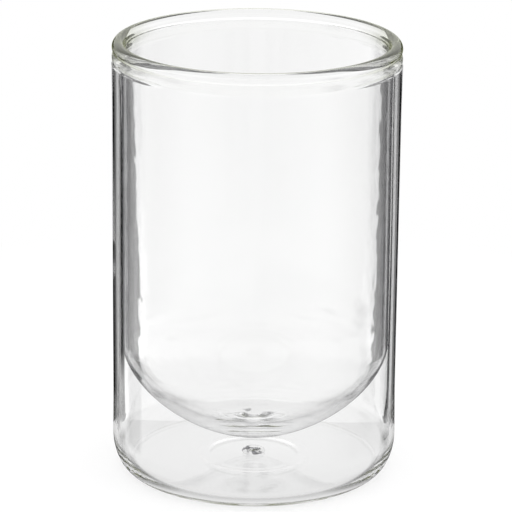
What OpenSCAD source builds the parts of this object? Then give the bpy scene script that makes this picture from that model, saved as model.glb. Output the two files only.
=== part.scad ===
// Double walled glass cup, in millimetres, standing on its foot ring at z = 0.
// Two blown borosilicate vessels, fused at the lip, hold a closed layer of air between them.
// The vent under the outer vessel lets the air out while the lip is fused, and is then melted shut.

/* [Outer vessel] */
// Outside diameter of the straight wall
outer_d = 80; // [60:0.5:100]
// Height from the foot ring to the top of the lip
height = 123; // [90:0.5:150]
// Thickness of the outer wall
outer_wall = 1.3; // [1:0.1:2]
// Width of the rounded heel, measured in from the wall
heel_w = 5; // [3:0.25:8]
// Height at which the rounded heel meets the straight wall
heel_h = 10; // [6:0.25:16]
// Width of the flat ring that the cup stands on
foot_w = 5; // [2:0.5:12]
// Thickness of the base
base_t = 1.6; // [1:0.1:3]
// Rise of the base from the foot ring to its middle
push_up_h = 1; // [0.5:0.1:3]

/* [Air layer and liner] */
// Width of the air layer between the two walls
air_gap = 1.4; // [1:0.1:4]
// Thickness of the liner's wall
liner_wall = 1.1; // [0.8:0.1:2]
// Height at which the liner's outside leaves the straight wall
bowl_top_z = 36.5; // [30:0.5:50]
// Height of the middle of the liner's underside, without its drop
bowl_low_z = 8.8; // [8:0.1:12]
// Thickness of the liner's floor at its middle, without the kick-up
floor_t = 3; // [1.5:0.1:4]
// Height of the liner's kick-up, the low dome in the middle of its floor
kick_h = 2.2; // [0:0.1:3]
// Radius of the kick-up
kick_r = 14; // [8:0.5:20]
// Depth of the drop of gathered glass under the liner
drop_h = 1.3; // [0.3:0.1:2]
// Radius of that drop
drop_r = 5.5; // [4:0.25:10]

/* [Lip] */
// How far the lip's outside is set in from the wall
lip_set_in = 0.1; // [0:0.05:0.4]
// Angle below the lip's widest level at which its round ends in a crease
crease_turn = 40; // [20:1:50]
// Height of the soft ridge under that crease
ridge_h = 2.5; // [1.5:0.1:4]
// How far that ridge swells
ridge_out = 0.25; // [0.1:0.05:0.4]
// How far the crease under the ridge is set in from the wall
crease_in = 0.15; // [0.05:0.05:0.4]
// Height of the neck in which the lip runs out to the wall
neck_h = 0.9; // [0.5:0.1:2]
// Height over which the air layer narrows to its end inside the lip
arch_h = 3.6; // [2:0.1:4]

/* [Vent] */
// Radius of the dimple round the vent
dimple_r = 14; // [8:0.5:18]
// Depth of that dimple
dimple_h = 0.4; // [0.3:0.1:1.5]
// Height of the low round rib at the dimple's edge, inside the vessel
rib_h = 0.2; // [0.1:0.05:0.5]
// Half the width of that rib
rib_half_w = 2.2; // [1:0.1:3]
// Radius of the vent
vent_r = 2; // [1:0.1:2.5]
// Radius of the melted head that closes the vent
seal_r = 3.3; // [2.7:0.1:5]
// Thickness of that head over the base
seal_head_h = 1.1; // [0.5:0.1:2]

/* [Hidden] */
$fn = 128;
glass_tint = [0.86, 0.9, 0.88, 0.4];
rim_tint = [0.62, 0.68, 0.5, 0.6];
bowl_fullness = 1.68;
floor_fullness = 1.75;
arch_fullness = 1.3;
heel_steps = 12;
bowl_steps = 40;
lip_steps = 20;
ridge_steps = 12;
neck_steps = 6;
base_steps = 40;
outer_r = outer_d / 2;
foot_in_r = outer_r - heel_w - foot_w;
shell_in_r = outer_r - outer_wall;
liner_out_r = shell_in_r - air_gap;
liner_in_r = liner_out_r - liner_wall;
lip_r = (outer_r - lip_set_in - liner_in_r) / 2;
lip_z = height - lip_r;
crease_z = lip_z - lip_r * sin(crease_turn);
joint_z = crease_z - ridge_h - neck_h;

// A quarter of a superellipse in the section plane, from the upright wall round to the level
// bottom: fullness 2 is an ellipse, and less than 2 is leaner.
function quarter(in_r, w, top_z, low_z, fullness, steps) =
  [for (i = [0:steps]) let (a = 90 * i / steps)
    [in_r + w * pow(cos(a), 2 / fullness), top_z - (top_z - low_z) * pow(sin(a), 2 / fullness)]];

// A smooth round hump of the given height that dies out at the given radius
function hump(r, hump_h, hump_r) = r < hump_r ? hump_h * (1 + cos(180 * r / hump_r)) / 2 : 0;

// Height of the base's underside at a radius inside the foot ring
function underside_z(r) = hump(r, push_up_h, foot_in_r) + hump(r, dimple_h, dimple_r);

// The base from the foot ring in to the vent, raised by a thickness and with a rib of a given height
function base_pts(t, ring_h) =
  [for (i = [0:base_steps]) let (r = foot_in_r + (vent_r - foot_in_r) * i / base_steps)
    [r, underside_z(r) + t + hump(abs(r - dimple_r), ring_h, rib_half_w)]];

function reversed(pts) = [for (i = [len(pts) - 1:-1:0]) pts[i]];

// Straight outer wall, rounded heel, flat foot ring and a base pushed up round the open vent
module outer_shell() {
  outside = quarter(outer_r - heel_w, heel_w, heel_h, 0, 2, heel_steps);
  inside = quarter(shell_in_r - heel_w, heel_w, heel_h, base_t, 2, heel_steps);
  color(glass_tint)
    rotate_extrude()
      polygon(concat([[outer_r, joint_z]], outside, base_pts(0, 0),
        reversed(base_pts(base_t, rib_h)), reversed(inside), [[shell_in_r, joint_z]]));
}

// The vessel that holds the drink: a straight wall and a lean bowl with a kick-up in its floor
module inner_liner() {
  outside = [for (p = quarter(0, liner_out_r, bowl_top_z, bowl_low_z, bowl_fullness, bowl_steps))
    [p[0], p[1] - hump(p[0], drop_h, drop_r)]];
  inside = [for (p = quarter(0, liner_in_r, bowl_top_z, bowl_low_z + floor_t, floor_fullness, bowl_steps))
    [p[0], p[1] + hump(p[0], kick_h, kick_r)]];
  color(glass_tint)
    rotate_extrude()
      polygon(concat([[liner_out_r, joint_z]], outside, reversed(inside), [[liner_in_r, joint_z]]));
}

// Solid ring where both walls run together: a round lip, a soft ridge under it, and a neck that
// runs out to the wall, arched inside over the end of the air layer
module rim_bead() {
  lip_c_r = liner_in_r + lip_r;
  mid_r = liner_out_r + air_gap / 2;
  top = [for (i = [0:lip_steps]) let (a = 180 - (180 + crease_turn) * i / lip_steps)
    [lip_c_r + lip_r * cos(a), lip_z + lip_r * sin(a)]];
  crease_r = outer_r - crease_in;
  lip_end_r = lip_c_r + lip_r * cos(crease_turn);
  ridge = [for (i = [1:ridge_steps]) let (k = i / ridge_steps)
    [lip_end_r + (crease_r - lip_end_r) * k + ridge_out * sin(180 * k), crease_z - ridge_h * k]];
  neck = [for (i = [1:neck_steps]) let (k = i / neck_steps)
    [outer_r - crease_in * (1 + cos(180 * k)) / 2, crease_z - ridge_h - neck_h * k]];
  arch = quarter(mid_r, air_gap / 2, joint_z, joint_z + arch_h, arch_fullness, lip_steps);
  far_arch = [for (p = arch) [mid_r * 2 - p[0], p[1]]];
  color(rim_tint)
    rotate_extrude()
      polygon(concat([[liner_in_r, joint_z]], top, ridge, neck, arch, reversed(far_arch)));
}

// Glass melted into the vent, with a round head that spreads over the base inside
module vent_seal() {
  low_z = underside_z(vent_r);
  seat_z = low_z + base_t;
  head = [for (i = [0:lip_steps]) let (a = 90 * i / lip_steps)
    [seal_r * cos(a), seat_z + seal_head_h * sin(a)]];
  color(glass_tint)
    rotate_extrude()
      polygon(concat([[0, low_z], [vent_r, low_z], [vent_r, seat_z]], head));
}

outer_shell();
inner_liner();
rim_bead();
vent_seal();
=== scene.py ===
"""A double walled glass cup: two blown vessels fused at the lip, with closed air between them."""
import logging
import math
from dataclasses import dataclass, field
from enum import Enum

import bmesh
import bpy
import numpy as np
from mathutils import Matrix, Vector


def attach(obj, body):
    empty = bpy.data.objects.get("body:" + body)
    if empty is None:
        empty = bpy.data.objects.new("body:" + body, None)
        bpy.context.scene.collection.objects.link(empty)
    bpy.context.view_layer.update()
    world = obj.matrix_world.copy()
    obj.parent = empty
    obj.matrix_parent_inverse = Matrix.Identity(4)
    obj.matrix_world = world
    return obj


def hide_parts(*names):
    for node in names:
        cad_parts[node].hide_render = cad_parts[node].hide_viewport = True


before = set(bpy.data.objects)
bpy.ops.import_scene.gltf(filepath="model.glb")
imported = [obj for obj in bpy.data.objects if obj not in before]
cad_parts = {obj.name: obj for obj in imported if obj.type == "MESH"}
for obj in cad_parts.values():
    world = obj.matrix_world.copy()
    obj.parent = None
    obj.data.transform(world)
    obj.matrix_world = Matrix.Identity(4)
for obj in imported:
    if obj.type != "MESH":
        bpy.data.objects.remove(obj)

Socket = bpy.types.NodeSocket
Colour = tuple[float, float, float]
Point = tuple[float, float]

LOG = logging.getLogger("double_walled_cup")
MM = 0.001
BODY = "root"
MERGE_REACH = 0.5e-6
SHORTEST_EDGE = 0.2e-6
SHARP_ANGLE = 35.0
NOISE_LOW, NOISE_HIGH = 0.3, 0.7
EVEN_BLEND = 0.5
WHITE: Colour = (1.0, 1.0, 1.0)


class Slot(Enum):
    """The record's material slots."""

    CLEAR = "clear_glass"
    LIP = "lip_glass"


class Face(Enum):
    """Which of a piece's two materials a strip of its surface wears."""

    GLASS = 0
    JOINT = 1


def grey(tone: float) -> tuple[float, float, float, float]:
    """An opaque grey of the given tone."""
    return (tone, tone, tone, 1.0)


class Graph:
    """Adds and wires the nodes of one material or of the world."""

    def __init__(self, tree: bpy.types.NodeTree) -> None:
        """Starts from an empty tree.

        Args:
            tree: the node tree to fill.
        """
        self.tree = tree
        tree.nodes.clear()

    def add(self, kind: str, inputs: dict | None = None, **settings: object) -> bpy.types.Node:
        """Adds a node.

        Args:
            kind: the node's Blender type.
            inputs: a value or an output socket for each input, by name or number.
            settings: attributes of the node.

        Returns:
            The new node.
        """
        node = self.tree.nodes.new(kind)
        for name, value in settings.items():
            setattr(node, name, value)
        for name, value in (inputs or {}).items():
            if isinstance(value, bpy.types.NodeSocket):
                self.tree.links.new(value, node.inputs[name])
            else:
                node.inputs[name].default_value = value
        return node

    def maths(self, operation: str, *values: object) -> Socket:
        """Adds a Math node and returns its output."""
        return self.add("ShaderNodeMath", dict(enumerate(values)), operation=operation).outputs[0]

    def product(self, first: object, second: object) -> Socket:
        """Multiplies two values and returns the result."""
        return self.maths("MULTIPLY", first, second)

    def inverse(self, share: object) -> Socket:
        """One minus a share."""
        return self.maths("SUBTRACT", 1.0, share)

    def length(self, x: object, y: object) -> Socket:
        """The distance from the axis: the square root of x squared plus y squared."""
        squares = self.maths("ADD", self.maths("POWER", x, 2.0), self.maths("POWER", y, 2.0))
        return self.maths("SQRT", squares)

    def remap(
        self,
        value: object,
        low: float,
        high: float,
        first: float = 0.0,
        last: float = 1.0,
        **settings: object,
    ) -> Socket:
        """Maps low to high onto first to last, held at both ends, and returns the value."""
        inputs = {0: value, 1: low, 2: high, 3: first, 4: last}
        return self.add("ShaderNodeMapRange", inputs, **settings).outputs[0]

    def step(self, value: object, at: float, soft: float) -> Socket:
        """Maps a value onto 0 below a place and 1 above it, with a slope of soft to each side."""
        return self.remap(value, at - soft, at + soft)

    def spread(self, value: object, low: float, high: float) -> Socket:
        """Maps a noise's middle range onto low to high and returns the value."""
        return self.remap(value, NOISE_LOW, NOISE_HIGH, low, high)

    def noise(self, coords: object, scale: float, detail: float) -> Socket:
        """Adds a noise of so many patches a metre and returns its value."""
        node = self.add("ShaderNodeTexNoise", {"Vector": coords, "Scale": scale, "Detail": detail})
        return node.outputs["Fac"]

    def blend(self, amount: object, first: object, second: object) -> Socket:
        """Blends two colours by an amount and returns the result."""
        node = self.add("ShaderNodeMix", {0: amount, 6: first, 7: second}, data_type="RGBA")
        return node.outputs[2]

    def grey_of(self, tone: object) -> Socket:
        """Makes a grey of a tone and returns the colour."""
        return self.add("ShaderNodeCombineColor", {0: tone, 1: tone, 2: tone}).outputs[0]

    def mix_shader(self, amount: object, first: object, second: object) -> Socket:
        """Mixes two shaders by an amount and returns the result."""
        return self.add("ShaderNodeMixShader", {0: amount, 1: first, 2: second}).outputs[0]

    def light(self, kind: str, colour: object, strength: float = 1.0) -> Socket:
        """Adds an emission or a background and returns its shader."""
        return self.add(kind, {"Color": colour, "Strength": strength}).outputs[0]

    def seen_in_glass(self, rays: bpy.types.NodeOutputs) -> Socket:
        """1 for a ray that was mirrored in the glass or passed through it, and 0 for others."""
        return self.maths("MAXIMUM", rays["Is Glossy Ray"], rays["Is Transmission Ray"])


@dataclass(frozen=True)
class Melt:
    """A lump of gathered glass on the axis, with an uneven skin and a few fold marks in painted shade,
    in metres.

    It reaches so far from the axis, below the height top_z. A fold mark is painted dark, as shade, where
    its noise is over fold_at, and covers at most fold_share of the glass.
    """

    reach: float
    top_z: float
    scale: float
    depth: float
    soft: float = 0.001
    detail: float = 1.0
    fold_scale: float = 260.0
    fold_at: float = 0.56
    fold_soft: float = 0.03
    fold_share: float = 0.75

    def inside(self, g: Graph, xyz: bpy.types.NodeOutputs) -> Socket:
        """Marks the lump.

        Args:
            g: the material's graph.
            xyz: the point's three coordinates.

        Returns:
            1 inside the lump and 0 outside, with a short slope between.
        """
        apart = g.inverse(g.step(g.length(xyz[0], xyz[1]), self.reach, self.soft))
        below = g.inverse(g.step(xyz[2], self.top_z, self.soft))
        return g.product(apart, below)

    def skin(self, g: Graph, coords: Socket, inside: Socket) -> Socket:
        """The height of the lump's uneven skin, in metres."""
        bumps = g.product(g.noise(coords, self.scale, self.detail), self.depth)
        return g.product(bumps, inside)

    def fold_shade(self, g: Graph, coords: Socket, inside: Socket) -> Socket:
        """The share of the glass that the painted shade of the fold marks covers."""
        fold_shade = g.step(g.noise(coords, self.fold_scale, self.detail), self.fold_at, self.fold_soft)
        return g.product(g.product(fold_shade, inside), self.fold_share)


@dataclass(frozen=True)
class GlassFinish:
    """Blown borosilicate glass with faint drawn waves, and painted shade where it is seen edge on.

    The two tints are the glass's own, in clouds. The edge tint is painted shade, which comes in as the
    surface turns away from the eye, and the contour is a painted dark line at the very edge, a matt dark
    layer mixed over the glass. Both grow from their least share at the height edge_low to all at
    edge_high, in metres. The long tint stands for what a long way through glass takes from the light,
    counted in bounces.
    """

    name: str
    tint: Colour = (0.997, 0.997, 0.997)
    tint_deep: Colour = (0.992, 0.993, 0.992)
    ior: float = 1.47
    rough_low: float = 0.0
    rough_high: float = 0.012
    cloud_scale: float = 33.0
    cloud_detail: float = 3.0
    wave_scale: float = 55.0
    wave_detail: float = 1.0
    wave_depth: float = 0.00002
    wave_stretch: tuple[float, float, float] = (1.0, 1.0, 0.25)
    ripple_scale: float = 300.0
    ripple_detail: float = 0.0
    ripple_depth: float = 0.0
    shadow_tone: float = 0.95
    # Painted shade at the edges: a dark edge tint and a matt dark contour line.
    edge_shade_tint: Colour = (0.30, 0.29, 0.32)
    edge_start: float = 0.68
    edge_low: float = 0.02
    edge_high: float = 0.045
    edge_least: float = 0.2
    contour_shade_tint: Colour = (0.10, 0.10, 0.11)
    contour_share: float = 0.5
    contour_focus: float = 4.0
    contour_least: float = 0.2
    long_tint: Colour = (0.70, 0.70, 0.70)
    long_from: float = 12.0
    long_to: float = 34.0
    melt: Melt | None = None

    def rise(self, g: Graph, z: Socket, least: float) -> Socket:
        """Maps the height onto the least share at edge_low and 1 at edge_high, and returns it."""
        return g.remap(z, self.edge_low, self.edge_high, least, 1.0)

    def colour(self, g: Graph, clouds: Socket, graze: Socket) -> Socket:
        """Blends the tints: the clouds, then the painted edge shade by graze, then the long tint by
        bounces.

        Args:
            g: the material's graph.
            clouds: a noise's value.
            graze: how far the surface is turned away, from 0 to 1.

        Returns:
            The glass's colour.
        """
        own = g.blend(g.spread(clouds, 0.0, 1.0), (*self.tint, 1.0), (*self.tint_deep, 1.0))
        edge = g.blend(graze, own, (*self.edge_shade_tint, 1.0))
        bounces = g.add("ShaderNodeLightPath").outputs["Ray Depth"]
        far = g.remap(bounces, self.long_from, self.long_to)
        return g.blend(far, edge, (*self.long_tint, 1.0))

    def contour(self, g: Graph, graze: Socket, z: Socket) -> Socket:
        """The painted dark line's share of the glass: the graze to the power of its focus, by height."""
        focused = g.product(g.maths("POWER", graze, self.contour_focus), self.contour_share)
        return g.product(focused, self.rise(g, z, self.contour_least))

    def relief(self, g: Graph, coords: Socket) -> Socket:
        """The height of the drawn waves and the fine ripples.

        Args:
            g: the material's graph.
            coords: the point's Object coordinates.

        Returns:
            The height, in metres.
        """
        drawn = g.add("ShaderNodeMapping", {"Vector": coords, "Scale": self.wave_stretch}).outputs[0]
        waves = g.product(g.noise(drawn, self.wave_scale, self.wave_detail), self.wave_depth)
        ripples = g.product(g.noise(coords, self.ripple_scale, self.ripple_detail), self.ripple_depth)
        return g.maths("ADD", waves, ripples)

    def material(self) -> bpy.types.Material:
        """Wires the finish.

        Returns:
            The material, which lets lamps through so that the cup's shadow is pale.
        """
        mat = bpy.data.materials.new(self.name)
        mat.use_nodes = True
        g = Graph(mat.node_tree)
        coords = g.add("ShaderNodeTexCoord").outputs["Object"]
        xyz = g.add("ShaderNodeSeparateXYZ", {0: coords}).outputs
        clouds = g.noise(coords, self.cloud_scale, self.cloud_detail)
        facing = g.add("ShaderNodeLayerWeight", {"Blend": EVEN_BLEND}).outputs["Facing"]
        graze = g.remap(facing, self.edge_start, 1.0)
        # Painted shade: the colour turns towards the dark edge tint as the surface turns edge on.
        colour = self.colour(g, clouds, g.product(graze, self.rise(g, xyz[2], self.edge_least)))
        dark = self.contour(g, graze, xyz[2])
        height = self.relief(g, coords)
        if self.melt:
            inside = self.melt.inside(g, xyz)
            height = g.maths("ADD", height, self.melt.skin(g, coords, inside))
            dark = g.maths("MAXIMUM", dark, self.melt.fold_shade(g, coords, inside))
        bump = g.add("ShaderNodeBump", {"Strength": 1.0, "Distance": 1.0, "Height": height})
        glass = g.add(
            "ShaderNodeBsdfPrincipled",
            {
                "Base Color": colour,
                "Roughness": g.spread(clouds, self.rough_low, self.rough_high),
                "IOR": self.ior,
                "Transmission Weight": 1.0,
                "Normal": bump.outputs[0],
            },
        )
        # Painted shade: a matt dark layer, mixed over the glass for the edge line and the dark fold
        # marks.
        line = g.add("ShaderNodeBsdfDiffuse", {"Color": (*self.contour_shade_tint, 1.0)}).outputs[0]
        seen = g.mix_shader(dark, glass.outputs[0], line)
        lit = g.add("ShaderNodeBsdfTransparent", {"Color": grey(self.shadow_tone)}).outputs[0]
        to_lamps = g.add("ShaderNodeLightPath").outputs["Is Shadow Ray"]
        g.add("ShaderNodeOutputMaterial", {"Surface": g.mix_shader(to_lamps, seen, lit)})
        return mat


@dataclass(frozen=True)
class FusedFinish:
    """The plane where two melted pieces run into each other, which nothing in the glass shows."""

    name: str = "fused_joint"

    def material(self) -> bpy.types.Material:
        """Wires a face that lets everything straight through.

        Returns:
            The material.
        """
        mat = bpy.data.materials.new(self.name)
        mat.use_nodes = True
        g = Graph(mat.node_tree)
        through = g.add("ShaderNodeBsdfTransparent", {"Color": (*WHITE, 1.0)}).outputs[0]
        g.add("ShaderNodeOutputMaterial", {"Surface": through})
        return mat


CLEAR_GLASS = GlassFinish("clear_blown_glass")
# Its edge tint, contour line and fold marks at the drop are painted shade.
LINER_GLASS = GlassFinish(
    "rippled_liner_glass",
    ripple_depth=0.00002,
    edge_shade_tint=(0.18, 0.17, 0.20),
    edge_start=0.52,
    edge_low=0.03,
    contour_share=0.8,
    contour_least=1.0,
    melt=Melt(reach=0.0055, top_z=0.011, scale=420.0, depth=0.0001),
)
# Its olive edge tint and contour line are partly the lip glass's own green along long paths and partly
# painted shade.
LIP_GLASS = GlassFinish(
    "fused_lip_glass",
    tint=(0.997, 0.998, 0.996),
    tint_deep=(0.992, 0.993, 0.99),
    edge_shade_tint=(0.20, 0.235, 0.03),
    edge_start=0.36,
    edge_low=0.1180,
    edge_high=0.1205,
    edge_least=0.15,
    contour_shade_tint=(0.17, 0.19, 0.05),
    contour_share=0.35,
    contour_focus=1.5,
    contour_least=0.1,
    long_tint=(0.10, 0.115, 0.03),
    long_from=5.0,
    long_to=14.0,
)
# Its near black contour line and fold marks are painted shade.
VENT_GLASS = GlassFinish(
    "melted_vent_glass",
    edge_least=1.0,
    contour_shade_tint=(0.04, 0.04, 0.05),
    contour_share=0.8,
    contour_focus=3.0,
    contour_least=1.0,
    melt=Melt(reach=0.004, top_z=0.01, scale=700.0, depth=0.0001, fold_scale=420.0, fold_at=0.52),
)


def quarter(
    in_r: float, width: float, top_z: float, low_z: float, fullness: float, steps: int
) -> np.ndarray:
    """A quarter of a superellipse: r = in_r + width cos^(2/n) a, z = top - (top - low) sin^(2/n) a.

    Args:
        in_r: radius at which the quarter ends at the bottom.
        width: its reach outwards from there.
        top_z: height where it leaves the upright wall.
        low_z: height of its level bottom end.
        fullness: the exponent n, 2 for an ellipse and less for a leaner curve.
        steps: number of spans.

    Returns:
        Points (r, z), from the wall round to the bottom.
    """
    a = np.linspace(0.0, math.pi / 2, steps + 1)
    power = 2.0 / fullness
    r = in_r + width * np.clip(np.cos(a), 0.0, 1.0) ** power
    z = top_z - (top_z - low_z) * np.clip(np.sin(a), 0.0, 1.0) ** power
    return np.stack([r, z], 1)


def hump(r: np.ndarray, height: float, reach: float) -> np.ndarray:
    """A round hump, height (1 + cos(pi r / reach)) / 2 inside its reach and nothing outside."""
    rise = height * (1.0 + np.cos(np.pi * np.minimum(r / reach, 1.0))) / 2.0
    return np.where(r < reach, rise, 0.0)


def arc(centre: Point, reach: Point, start: float, stop: float, steps: int) -> np.ndarray:
    """Part of an ellipse: r = cr + a cos t and z = cz + b sin t, with t in degrees."""
    t = np.radians(np.linspace(start, stop, steps + 1))
    return np.stack([centre[0] + reach[0] * np.cos(t), centre[1] + reach[1] * np.sin(t)], 1)


def line(start: Point, stop: Point, steps: int) -> np.ndarray:
    """Evenly spaced points (r, z) on a straight line."""
    return np.linspace(start, stop, steps + 1)


@dataclass(frozen=True)
class HandWaves:
    """The slight unevenness of hand blown glass, as a shrinking of the radius, in millimetres.

    It lies between two heights and dies out over the fade at each. A wave goes round the axis a
    whole number of turns, and climbs by up to so many radians a millimetre.
    """

    depth: float
    seed: int
    low_z: float
    high_z: float
    fade: float = 14.0
    climb: float = 0.06
    turns: tuple[int, ...] = (1, 2, 3, 5)

    def offset(self, angle: np.ndarray, z: np.ndarray) -> np.ndarray:
        """A sum of slow waves: cos(k t + c z + p) for a few whole k, scaled to 0..depth and faded.

        Args:
            angle: angle about the axis at each point.
            z: height of each point.

        Returns:
            How far each point moves in, in millimetres.
        """
        rng = np.random.default_rng(self.seed)
        total = np.zeros(np.broadcast(angle, z).shape)
        for k in self.turns:
            phase, climb = rng.uniform(0, 2 * math.pi), rng.uniform(-self.climb, self.climb)
            total = total + np.cos(k * angle + climb * z + phase) / len(self.turns)
        ends = np.minimum(z - self.low_z, self.high_z - z) / self.fade
        ease = np.clip(ends, 0.0, 1.0)
        return self.depth * (0.5 + 0.5 * total) * ease * ease * (3.0 - 2.0 * ease)


@dataclass
class Strip:
    """One run of a turned piece's section, with the face it wears and its unevenness."""

    points: np.ndarray
    face: Face = Face.GLASS
    waves: HandWaves | None = None

    def grid(self, segments: int) -> np.ndarray:
        """The strip turned about Z: x = r cos t, y = r sin t, z = z, on a grid of section by angle.

        Args:
            segments: number of steps round.

        Returns:
            Positions in metres, of shape (points, segments, 3).
        """
        t = np.linspace(0.0, 2 * math.pi, segments, endpoint=False)[None, :]
        r, z = self.points[:, :1] + 0 * t, self.points[:, 1:] + 0 * t
        if self.waves:
            r = r - self.waves.offset(t, z)
        return np.stack([r * np.cos(t), r * np.sin(t), z], 2) * MM


@dataclass(frozen=True)
class CupSizes:
    """Sizes that several pieces share, in millimetres, as the CAD source has them."""

    outer_r: float = 40.0
    height: float = 123.0
    shell_in_r: float = 38.7
    liner_out_r: float = 37.3
    liner_in_r: float = 36.2
    joint_z: float = 116.561


@dataclass
class TurnedPiece:
    """A sub-assembly of one solid of revolution, in millimetres until its mesh is made."""

    name: str = "piece"
    node: str = "node"
    slot: Slot = Slot.CLEAR
    finish: GlassFinish = CLEAR_GLASS
    cup: CupSizes = CupSizes()
    segments: int = 320
    joint_steps: int = 2

    def strips(self) -> list[Strip]:
        """The section's runs in order, which meet end to end round the solid."""
        raise NotImplementedError

    def upright(self, r: float, start_z: float, stop_z: float, steps: int, waves: HandWaves) -> Strip:
        """The straight wall at a radius, from one height to another, with its unevenness."""
        return Strip(line((r, start_z), (r, stop_z), steps), waves=waves)

    def fused_ring(self, start_r: float, stop_r: float) -> Strip:
        """The level ring by which the walls and the lip are fused, from one radius to another."""
        z = self.cup.joint_z
        return Strip(line((start_r, z), (stop_r, z), self.joint_steps), Face.JOINT)

    def bands(self) -> tuple[np.ndarray, np.ndarray, np.ndarray]:
        """Every strip as a band of quads between its rows i and i + 1 and its steps j and j + 1.

        Returns:
            The points, the corners of each quad, and the number of each quad's material.
        """
        n = self.segments
        verts, faces, marks, base = [], [], [], 0
        for strip in self.strips():
            grid = strip.grid(n)
            rows = grid.shape[0]
            i, j = np.meshgrid(np.arange(rows - 1), np.arange(n), indexing="ij")
            k = (j + 1) % n
            corners = [i * n + j, (i + 1) * n + j, (i + 1) * n + k, i * n + k]
            quads = np.stack(corners, 2).reshape(-1, 4)
            verts.append(grid.reshape(-1, 3))
            faces.append(quads + base)
            marks.append(np.full(len(quads), strip.face.value))
            base += rows * n
        return np.concatenate(verts), np.concatenate(faces), np.concatenate(marks)

    def mesh(self) -> bpy.types.Mesh:
        """Merges the bands, closes them at the axis and turns the faces outwards.

        Returns:
            A closed mesh, smooth but for the corners of its section.
        """
        verts, faces, marks = self.bands()
        made = bpy.data.meshes.new(self.name)
        made.from_pydata(verts.tolist(), [], faces.tolist())
        made.polygons.foreach_set("material_index", marks.astype(np.int32))
        work = bmesh.new()
        work.from_mesh(made)
        bmesh.ops.remove_doubles(work, verts=work.verts, dist=MERGE_REACH)
        bmesh.ops.dissolve_degenerate(work, edges=work.edges, dist=SHORTEST_EDGE)
        bmesh.ops.recalc_face_normals(work, faces=work.faces)
        work.to_mesh(made)
        work.free()
        made.shade_smooth()
        made.set_sharp_from_angle(angle=math.radians(SHARP_ANGLE))
        return made

    def build(self, joint: bpy.types.Material) -> bpy.types.Object:
        """Makes the piece, dresses it and hands it to the frame.

        Args:
            joint: the finish of the faces by which it is fused to the next piece.

        Returns:
            The finished object, at the origin.
        """
        piece = bpy.data.objects.new(self.name, self.mesh())
        bpy.context.scene.collection.objects.link(piece)
        piece.data.materials.append(self.finish.material())
        piece.data.materials.append(joint)
        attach(piece, BODY)
        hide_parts(self.node)
        return piece


@dataclass
class OuterVessel(TurnedPiece):
    """The outer tumbler: straight wall, rounded heel, foot ring and a base pushed up round the vent."""

    name: str = "outer_vessel"
    node: str = "outer_shell"
    heel_w: float = 5.0
    heel_h: float = 10.0
    heel_fullness: float = 2.0
    foot_in_r: float = 30.0
    base_t: float = 1.6
    push_up_h: float = 1.0
    dimple_r: float = 14.0
    dimple_h: float = 0.4
    rib_h: float = 0.2
    rib_half_w: float = 2.2
    vent_r: float = 2.0
    out_wave: float = 0.22
    out_seed: int = 3
    in_wave: float = 0.12
    in_seed: int = 8
    wall_steps: int = 32
    heel_steps: int = 26
    flat_steps: int = 3
    base_steps: int = 84

    def underside(self, lift: float) -> np.ndarray:
        """The base from the foot ring in to the vent: the sum of a wide and a narrow hump.

        Args:
            lift: how far it is raised, 0 for the underside and the base's thickness for the top,
                which also has the low round rib.

        Returns:
            Points (r, z).
        """
        r = np.linspace(self.foot_in_r, self.vent_r, self.base_steps + 1)
        z = hump(r, self.push_up_h, self.foot_in_r) + hump(r, self.dimple_h, self.dimple_r) + lift
        z += np.sign(lift) * hump(np.abs(r - self.dimple_r), self.rib_h, self.rib_half_w)
        return np.stack([r, z], 1)

    def heel(self, in_r: float, low_z: float) -> np.ndarray:
        """The rounded heel, from the wall round to the bottom at a radius and a height."""
        return quarter(in_r, self.heel_w, self.heel_h, low_z, self.heel_fullness, self.heel_steps)

    def strips(self) -> list[Strip]:
        """The section from the joint down the outside, in to the vent, and back up the inside.

        Returns:
            The runs in order.
        """
        c, t, top = self.cup, self.base_t, self.cup.joint_z
        out_waves = HandWaves(self.out_wave, self.out_seed, self.heel_h, top)
        in_waves = HandWaves(self.in_wave, self.in_seed, self.heel_h, top)
        foot_r, in_foot_r = c.outer_r - self.heel_w, c.shell_in_r - self.heel_w
        under, floor = self.underside(0.0), self.underside(t)[::-1]
        return [
            self.upright(c.outer_r, top, self.heel_h, self.wall_steps, out_waves),
            Strip(self.heel(foot_r, 0.0)),
            Strip(line((foot_r, 0.0), (self.foot_in_r, 0.0), self.flat_steps)),
            Strip(under),
            Strip(line(tuple(under[-1]), tuple(floor[0]), self.flat_steps), Face.JOINT),
            Strip(floor),
            Strip(line((self.foot_in_r, t), (in_foot_r, t), self.flat_steps)),
            Strip(self.heel(in_foot_r, t)[::-1]),
            self.upright(c.shell_in_r, self.heel_h, top, self.wall_steps, in_waves),
            self.fused_ring(c.shell_in_r, c.outer_r),
        ]


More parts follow.
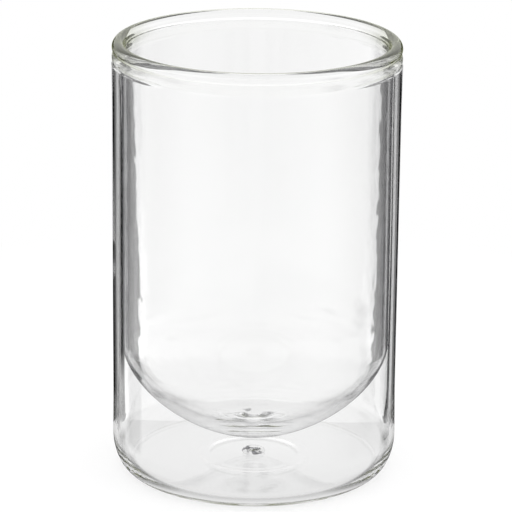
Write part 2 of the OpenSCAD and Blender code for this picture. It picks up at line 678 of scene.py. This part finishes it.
@dataclass
class Liner(TurnedPiece):
    """The vessel that holds the drink: straight wall, lean bowl, kicked-up floor and a drop below."""

    name: str = "liner_vessel"
    node: str = "inner_liner"
    finish: GlassFinish = LINER_GLASS
    bowl_top_z: float = 36.5
    bowl_low_z: float = 8.8
    bowl_fullness: float = 1.68
    floor_fullness: float = 1.75
    floor_t: float = 3.0
    kick_h: float = 2.2
    kick_r: float = 14.0
    drop_h: float = 1.3
    drop_r: float = 5.5
    out_wave: float = 0.09
    out_seed: int = 21
    in_wave: float = 0.06
    in_seed: int = 34
    wall_steps: int = 40
    bowl_steps: int = 72

    def bowl(self, wall_r: float, low_z: float, fullness: float) -> np.ndarray:
        """A side of the bowl, from the straight wall at a radius in to the axis at a height."""
        return quarter(0.0, wall_r, self.bowl_top_z, low_z, fullness, self.bowl_steps)

    def strips(self) -> list[Strip]:
        """The section down the outside to the axis, and from the axis back up the inside.

        Returns:
            The runs in order.
        """
        c, top, low = self.cup, self.cup.joint_z, self.bowl_top_z
        outside = self.bowl(c.liner_out_r, self.bowl_low_z, self.bowl_fullness)
        outside[:, 1] -= hump(outside[:, 0], self.drop_h, self.drop_r)
        inside = self.bowl(c.liner_in_r, self.bowl_low_z + self.floor_t, self.floor_fullness)
        inside[:, 1] += hump(inside[:, 0], self.kick_h, self.kick_r)
        out_waves = HandWaves(self.out_wave, self.out_seed, low, top)
        in_waves = HandWaves(self.in_wave, self.in_seed, low, top)
        return [
            self.upright(c.liner_out_r, top, low, self.wall_steps, out_waves),
            Strip(outside),
            Strip(inside[::-1]),
            self.upright(c.liner_in_r, low, top, self.wall_steps, in_waves),
            self.fused_ring(c.liner_in_r, c.liner_out_r),
        ]


@dataclass
class LipRing(TurnedPiece):
    """The solid ring where both walls run together: a round lip, a soft ridge and an arched cavity.

    The inside leaves the wall on a parabola, so that the lip starts in a shallow crease.
    """

    name: str = "fused_lip"
    node: str = "rim_bead"
    slot: Slot = Slot.LIP
    finish: GlassFinish = LIP_GLASS
    lip_r: float = 1.85
    inner_turn: float = 18.0
    crease_turn: float = 40.0
    ridge_h: float = 2.5
    ridge_out: float = 0.25
    crease_in: float = 0.15
    arch_h: float = 3.6
    arch_fullness: float = 1.3
    inside_steps: int = 12
    lip_steps: int = 40
    ridge_steps: int = 24
    arch_steps: int = 20

    def lip(self) -> np.ndarray:
        """The round of the lip, from inside over the top to the crease outside."""
        centre = (self.cup.liner_in_r + self.lip_r, self.cup.height - self.lip_r)
        return arc(centre, (self.lip_r,) * 2, 180.0 + self.inner_turn, -self.crease_turn, self.lip_steps)

    def inside(self, lip_start: np.ndarray) -> np.ndarray:
        """The inside from the joint up to the lip: the radius moves by the square of the way.

        Args:
            lip_start: the point (r, z) where the lip starts.

        Returns:
            Points (r, z).
        """
        c = self.cup
        points = line((c.liner_in_r, c.joint_z), tuple(lip_start), self.inside_steps)
        way = np.linspace(0.0, 1.0, self.inside_steps + 1)
        points[:, 0] = c.liner_in_r + (lip_start[0] - c.liner_in_r) * way ** 2
        return points

    def outside(self, lip_end: np.ndarray) -> tuple[np.ndarray, np.ndarray]:
        """The ridge, a half wave proud of a straight line, and the neck, a half cosine to the wall.

        Args:
            lip_end: the point (r, z) where the lip ends.

        Returns:
            The ridge's points (r, z), and the neck's.
        """
        c = self.cup
        crease = (c.outer_r - self.crease_in, float(lip_end[1]) - self.ridge_h)
        half_turn = np.linspace(0.0, np.pi, self.ridge_steps + 1)
        ridge = line(tuple(lip_end), crease, self.ridge_steps)
        ridge[:, 0] += self.ridge_out * np.sin(half_turn)
        neck = line(crease, (c.outer_r, c.joint_z), self.ridge_steps)
        neck[:, 0] = c.outer_r - self.crease_in * (1.0 + np.cos(half_turn)) / 2.0
        return ridge, neck

    def arch(self) -> np.ndarray:
        """The end of the air layer: two superellipse quarters back to back over its middle.

        Returns:
            Points (r, z), from the outer wall over the top to the liner.
        """
        c = self.cup
        half_gap = (c.shell_in_r - c.liner_out_r) / 2
        side = quarter(0.0, half_gap, 0.0, -self.arch_h, self.arch_fullness, self.arch_steps)
        both = np.concatenate([side, (side * (-1.0, 1.0))[::-1][1:]])
        return np.stack([c.liner_out_r + half_gap + both[:, 0], c.joint_z - both[:, 1]], 1)

    def strips(self) -> list[Strip]:
        """The section up the inside, over the lip, down the ridge outside it and through the arch.

        Returns:
            The runs in order.
        """
        c, lip = self.cup, self.lip()
        ridge, neck = self.outside(lip[-1])
        return [
            self.fused_ring(c.liner_out_r, c.liner_in_r),
            Strip(self.inside(lip[0])),
            Strip(lip),
            Strip(ridge),
            Strip(neck),
            self.fused_ring(c.outer_r, c.shell_in_r),
            Strip(self.arch()),
        ]


@dataclass
class VentSeal(TurnedPiece):
    """Glass melted into the vent, with a round head that spreads over the base inside."""

    name: str = "vent_plug"
    node: str = "vent_seal"
    finish: GlassFinish = VENT_GLASS
    segments: int = 128
    base: OuterVessel = field(default_factory=OuterVessel)
    seal_r: float = 3.3
    head_h: float = 1.1
    under_steps: int = 4
    side_steps: int = 3
    head_steps: int = 24

    def strips(self) -> list[Strip]:
        """The section from the axis out under the stem, up its side, out to the head and over it.

        Returns:
            The runs in order.
        """
        vent_r = self.base.vent_r
        low_z = float(self.base.underside(0.0)[-1, 1])
        seat_z = low_z + self.base.base_t
        return [
            Strip(line((0.0, low_z), (vent_r, low_z), self.under_steps)),
            Strip(line((vent_r, low_z), (vent_r, seat_z), self.side_steps), Face.JOINT),
            Strip(line((vent_r, seat_z), (self.seal_r, seat_z), self.joint_steps), Face.JOINT),
            Strip(arc((0.0, seat_z), (self.seal_r, self.head_h), 0.0, 90.0, self.head_steps)),
        ]


@dataclass(frozen=True)
class Tone:
    """A card's tone, from its start in degrees beside the wall's middle on.

    It comes in on a slope that reaches so many soft degrees to each side of the start.
    """

    start: float
    value: float
    soft: float = 0.15


@dataclass(frozen=True)
class CardSet:
    """Black cards each side of one white wall, which give clear glass its dark edges.

    The wall's bearing is in degrees from +Y towards +X, and the tones start at so many degrees to
    each side of it. The cards stand between a low and a high elevation, in degrees, and no
    elevation means the studio's seam. They lean towards the wall by so many degrees at their foot.
    The gain lets a tone be over 1, and the right and left tones are those of two soft shades.
    """

    bearing: float
    low: float | None
    high: float | None
    tones: tuple[Tone, ...]
    lean: float = 0.0
    gain: float = 1.0
    right_tone: float = 1.0
    left_tone: float = 1.0


PHOTO_TONES = (
    Tone(0, 0.83),
    Tone(5, 0.93, 4.0),
    Tone(10, 1.14, 0.9),
    Tone(12, 0.0),
    Tone(23.5, 0.22),
    Tone(31, 0.78),
    Tone(38, 0.0),
    Tone(49.5, 0.42),
    Tone(57, 1.0),
)
LOW_TONES = (Tone(0, 0.03), Tone(13, 0.83), Tone(32, 0.03), Tone(52, 0.83))
PLAIN_TONES = (Tone(0, 0.85), Tone(11, 0.06), Tone(25, 0.55), Tone(33, 1.0))
LOW_END, PHOTO_TOP, PLAIN_TOP = -55.0, -10.5, 2.5
STUDIO_CARDS = (
    CardSet(
        bearing=0.0, low=None, high=PHOTO_TOP, tones=PHOTO_TONES,
        lean=2.6, gain=1.25, right_tone=0.5, left_tone=0.9,
    ),
    CardSet(bearing=-22.5, low=LOW_END, high=None, tones=LOW_TONES),
    CardSet(bearing=0.0, low=PHOTO_TOP, high=PLAIN_TOP, tones=PLAIN_TONES),
    CardSet(bearing=-90.0, low=PHOTO_TOP, high=PLAIN_TOP, tones=PLAIN_TONES),
)


@dataclass(frozen=True)
class Walls:
    """White walls all round with black cards at some bearings, in degrees.

    The seam is the elevation at which the low cards give way to the high ones, and it is higher to
    the left of seam_turn. The walls are a little over white in front, by the left and right gains,
    to make up for what the glass's many surfaces take. Rays that are neither the camera's nor in
    the glass see plain walls of the room's tone, which light the matt table.
    """

    cards: tuple[CardSet, ...] = STUDIO_CARDS
    reach: float = 60.0
    soft_rise: float = 0.3
    seam_rise: float = -21.4
    seam_left_rise: float = -19.6
    seam_turn: float = -31.0
    seam_soft: float = 1.0
    lean_low: float = -17.9
    lean_high: float = -14.8
    shade_bearing: float = 75.0
    shade_reach: float = 55.0
    gain_turn: float = 25.0
    left_gain: float = 1.11
    right_gain: float = 1.08
    room_tone: float = 0.75

    def ramp(self, g: Graph, off: Socket, cards: CardSet) -> Socket:
        """Reads the cards' tones from a colour ramp over the degrees beside the wall's middle.

        Args:
            g: the world's graph.
            off: the ray's bearing, folded about the wall's middle, in degrees.
            cards: the cards.

        Returns:
            The tone. The ramp holds the tones divided by the gain.
        """
        node = g.add("ShaderNodeValToRGB", {0: g.maths("DIVIDE", off, self.reach)})
        stops = node.color_ramp.elements
        values = [tone.value / cards.gain for tone in cards.tones]
        stops[0].position, stops[1].position = 0.0, 1.0
        stops[0].color, stops[1].color = grey(values[0]), grey(values[-1])
        for tone, before, value in zip(cards.tones[1:], values, values[1:]):
            stops.new((tone.start - tone.soft) / self.reach).color = grey(before)
            stops.new((tone.start + tone.soft) / self.reach).color = grey(value)
        return g.product(node.outputs[0], cards.gain)

    def shaded(self, g: Graph, tone: Socket, turn: Socket, cards: CardSet) -> Socket:
        """Dims a tone softly about a bearing at the right and about one at the left.

        Args:
            g: the world's graph.
            tone: the tone.
            turn: the ray's bearing, in degrees.
            cards: the cards, with the least share at the middle of each shade.

        Returns:
            The dimmed tone.
        """
        shades = ((self.shade_bearing, cards.right_tone), (-self.shade_bearing, cards.left_tone))
        for middle, least in shades:
            apart = g.maths("ABSOLUTE", g.maths("SUBTRACT", turn, middle))
            side = g.remap(apart, 0.0, self.shade_reach, least, 1.0, interpolation_type="SMOOTHSTEP")
            tone = g.product(tone, side)
        return tone

    def card_tone(self, g: Graph, turn: Socket, rise: Socket, seam: Socket, cards: CardSet) -> Socket:
        """Works out one set of cards.

        Args:
            g: the world's graph.
            turn: the ray's bearing, in degrees.
            rise: its elevation, in degrees.
            seam: the seam's elevation at that bearing.
            cards: the cards.

        Returns:
            The cards' tone between their elevations, and 1 elsewhere.
        """
        off = g.maths("WRAP", g.maths("SUBTRACT", turn, cards.bearing), 180.0, -180.0)
        off = g.maths("ABSOLUTE", off)
        if cards.lean:
            off = g.maths("ADD", off, g.remap(rise, self.lean_low, self.lean_high, cards.lean, 0.0))
        tone = self.shaded(g, self.ramp(g, off, cards), turn, cards)
        ends = [seam if end is None else end for end in (cards.low, cards.high)]
        over = [g.step(g.maths("SUBTRACT", rise, end), 0.0, self.soft_rise) for end in ends]
        here = g.maths("SUBTRACT", over[0], over[1])
        return g.add("ShaderNodeMix", {0: here, 2: 1.0, 3: tone}).outputs[0]

    def build(self) -> None:
        """Wires the world, whose walls are the product of all the cards' tones.

        A ray's bearing is the angle of its direction from +Y towards +X, and its elevation is the
        arc sine of the direction's height.
        """
        world = bpy.data.worlds.new("studio_walls")
        world.use_nodes = True
        bpy.context.scene.world = world
        g = Graph(world.node_tree)
        way = g.add("ShaderNodeTexCoord").outputs["Generated"]
        xyz = g.add("ShaderNodeSeparateXYZ", {0: way}).outputs
        turn = g.maths("DEGREES", g.maths("ARCTAN2", xyz[0], xyz[1]))
        rise = g.maths("DEGREES", g.maths("ARCSINE", xyz[2]))
        tone = g.remap(turn, -self.gain_turn, self.gain_turn, self.left_gain, self.right_gain)
        past_turn = g.step(turn, self.seam_turn, self.seam_soft)
        seam = g.remap(past_turn, 0.0, 1.0, self.seam_left_rise, self.seam_rise)
        for cards in self.cards:
            tone = g.product(tone, self.card_tone(g, turn, rise, seam, cards))
        rays = g.add("ShaderNodeLightPath").outputs
        walls = g.light("ShaderNodeBackground", g.grey_of(tone))
        room = g.light("ShaderNodeBackground", (*WHITE, 1.0), self.room_tone)
        plain = g.light("ShaderNodeBackground", (*WHITE, 1.0))
        lit = g.mix_shader(g.seen_in_glass(rays), room, walls)
        surface = g.mix_shader(rays["Is Camera Ray"], lit, plain)
        g.add("ShaderNodeOutputWorld", {"Surface": surface})


@dataclass(frozen=True)
class Table:
    """The pale table, in metres: white to the camera but for the shadow, and smaller in the glass.

    In the glass it ends at a reach from the axis and at a back edge, past which the low cards show.
    There it glows an even grey of painted shade, and darker where shadow is painted, which only the
    glass sees
    and which gives the heel its dark edge: two wings beside the cup, and a crescent under the front of
    the heel that is faint in its middle. The soft sizes are half the width of a patch's slope.
    """

    half: float = 6.0
    below: float = 0.00003
    matt_tone: float = 0.9
    fade_from: float = 0.06
    fade_to: float = 0.22
    fade_least: float = 0.62
    reach: float = 0.06
    back_y: float = 0.029
    # In the glass the near table glows this grey, which is painted shade, and glows darker where the
    # shadow is painted.
    tone: float = 0.78
    painted_shadow_tone: float = 0.08
    # The painted shadow: wings beside the cup and a crescent under the front of the heel.
    wing_in: float = 0.0395
    wing_in_soft: float = 0.001
    wing_out: float = 0.046
    wing_out_soft: float = 0.002
    wing_front: float = -0.008
    wing_back: float = 0.019
    wing_end_soft: float = 0.004
    heel_in: float = 0.0355
    heel_out: float = 0.042
    heel_soft: float = 0.001
    heel_front: float = 0.004
    heel_front_soft: float = 0.004
    middle_x: float = 0.020
    side_x: float = 0.034
    middle_share: float = 0.2

    def painted_shadows(self, g: Graph, xyz: bpy.types.NodeOutputs, reach: Socket) -> Socket:
        """Marks the painted shadow.

        Args:
            g: the material's graph.
            xyz: the point's three coordinates.
            reach: its distance from the axis.

        Returns:
            How dark the table is there, from 0 to 1.
        """
        side = g.maths("ABSOLUTE", xyz[0])
        out = g.step(side, self.wing_out, self.wing_out_soft)
        wings = g.maths("SUBTRACT", g.step(side, self.wing_in, self.wing_in_soft), out)
        back = g.step(xyz[1], self.wing_back, self.wing_end_soft)
        along = g.maths("SUBTRACT", g.step(xyz[1], self.wing_front, self.wing_end_soft), back)
        out = g.step(reach, self.heel_out, self.heel_soft)
        rim = g.maths("SUBTRACT", g.step(reach, self.heel_in, self.heel_soft), out)
        front = g.step(g.product(xyz[1], -1.0), self.heel_front, self.heel_front_soft)
        share = g.remap(side, self.middle_x, self.side_x, self.middle_share, 1.0)
        crescent = g.product(g.product(rim, front), share)
        return g.maths("MAXIMUM", g.product(wings, along), crescent)

    def material(self) -> bpy.types.Material:
        """Wires the table for the camera, for the glass and for everything else.

        Returns:
            The material.
        """
        mat = bpy.data.materials.new("pale_table")
        mat.use_nodes = True
        g = Graph(mat.node_tree)
        coords = g.add("ShaderNodeTexCoord").outputs["Object"]
        xyz = g.add("ShaderNodeSeparateXYZ", {0: coords}).outputs
        reach = g.length(xyz[0], xyz[1])
        matt = g.add("ShaderNodeBsdfDiffuse", {"Color": grey(self.matt_tone)}).outputs[0]
        white = g.light("ShaderNodeEmission", (*WHITE, 1.0))
        fade = g.remap(reach, self.fade_from, self.fade_to, self.fade_least, 1.0)
        shown = g.mix_shader(fade, matt, white)
        near = g.maths("LESS_THAN", reach, self.reach)
        front = g.maths("LESS_THAN", xyz[1], self.back_y)
        # Painted shadow: the glass sees the near table as an even grey glow, darker in the wings and the
        # crescent.
        tone = g.remap(self.painted_shadows(g, xyz, reach), 0.0, 1.0, self.tone, self.painted_shadow_tone)
        table = g.light("ShaderNodeEmission", g.grey_of(tone))
        past = g.add("ShaderNodeBsdfTransparent", {"Color": (*WHITE, 1.0)}).outputs[0]
        under = g.mix_shader(g.product(near, front), past, table)
        rays = g.add("ShaderNodeLightPath").outputs
        seen = g.mix_shader(rays["Is Camera Ray"], matt, shown)
        surface = g.mix_shader(g.seen_in_glass(rays), seen, under)
        g.add("ShaderNodeOutputMaterial", {"Surface": surface})
        return mat

    def build(self) -> None:
        """Lays the table a hair below the foot ring."""
        h, z = self.half, -self.below
        data = bpy.data.meshes.new("floor")
        data.from_pydata([(-h, -h, z), (h, -h, z), (h, h, z), (-h, h, z)], [], [(0, 1, 2, 3)])
        data.materials.append(self.material())
        slab = bpy.data.objects.new("floor", data)
        bpy.context.scene.collection.objects.link(slab)


@dataclass(frozen=True)
class PhotoCamera:
    """The pinhole camera that fits the photograph's outline, in degrees and millimetres."""

    picture: int = 512
    focal_px: float = 3073.8
    centre_px: Point = (255.48, 254.01)
    pitch: float = 17.455
    roll: float = 0.541
    distance: float = 859.3
    target_z: float = 61.5
    sensor: float = 36.0
    near_m: float = 0.01
    far_m: float = 50.0

    def build(self) -> None:
        """Puts the camera in front of the cup, at its pitch, and makes it the scene's."""
        data = bpy.data.cameras.new("camera")
        data.sensor_width = self.sensor
        data.lens = self.focal_px / self.picture * self.sensor
        data.shift_x = (self.picture / 2 - self.centre_px[0]) / self.picture
        data.shift_y = (self.centre_px[1] - self.picture / 2) / self.picture
        data.clip_start, data.clip_end = self.near_m, self.far_m
        cam = bpy.data.objects.new("camera", data)
        bpy.context.scene.collection.objects.link(cam)
        pitch = math.radians(self.pitch)
        back = Vector((0.0, -math.cos(pitch), math.sin(pitch)))
        turn = (-back).to_track_quat("-Z", "Y").to_matrix().to_4x4()
        target = Vector((0.0, 0.0, self.target_z * MM))
        place = Matrix.Translation(target + back * self.distance * MM)
        cam.matrix_world = place @ turn @ Matrix.Rotation(math.radians(self.roll), 4, "Z")
        bpy.context.scene.camera = cam


@dataclass(frozen=True)
class SoftLamp:
    """A square soft lamp that points at the cup and isn't mirrored in the glass, in metres."""

    name: str
    place: tuple[float, float, float]
    size: float
    watts: float

    def build(self) -> None:
        """Hangs the lamp."""
        data = bpy.data.lights.new(self.name, "AREA")
        data.size, data.energy = self.size, self.watts
        lamp = bpy.data.objects.new(self.name, data)
        bpy.context.scene.collection.objects.link(lamp)
        lamp.location = self.place
        lamp.rotation_mode = "QUATERNION"
        lamp.rotation_quaternion = (-Vector(self.place)).to_track_quat("-Z", "Y")
        lamp.visible_camera = lamp.visible_glossy = lamp.visible_transmission = False


@dataclass(frozen=True)
class Studio:
    """The camera, the white walls with their cards, the pale table and the soft lamps.

    Light may go through many glass surfaces, because with fewer bounces the edges turn black.
    """

    camera: PhotoCamera = PhotoCamera()
    walls: Walls = Walls()
    table: Table = Table()
    lamps: tuple[SoftLamp, ...] = (
        SoftLamp("top_lamp", (0.0, 0.1, 1.3), 1.2, 9.0),
        SoftLamp("left_lamp", (-1.0, -0.5, 0.8), 0.9, 4.0),
        SoftLamp("right_lamp", (1.0, -0.4, 0.9), 0.9, 3.0),
    )
    glass_bounces: int = 64
    clear_bounces: int = 48

    def build(self) -> None:
        """Sets everything up in order."""
        for part in (self.camera, self.walls, self.table, *self.lamps):
            part.build()
        scene = bpy.context.scene
        scene.view_settings.view_transform = "Standard"
        scene.cycles.max_bounces = self.glass_bounces
        scene.cycles.transmission_bounces = self.glass_bounces
        scene.cycles.glossy_bounces = self.glass_bounces
        scene.cycles.transparent_max_bounces = self.clear_bounces


def main() -> None:
    """Builds the studio and the cup's pieces in order and reports each."""
    logging.basicConfig(level=logging.INFO, format="%(name)s: %(message)s")
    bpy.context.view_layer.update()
    Studio().build()
    joint = FusedFinish().material()
    outer = OuterVessel()
    for part in (outer, Liner(), LipRing(), VentSeal(base=outer)):
        made = part.build(joint)
        LOG.info("%s stands for %s, %d faces", made.name, part.node, len(made.data.polygons))


if __name__ == "__main__":
    main()
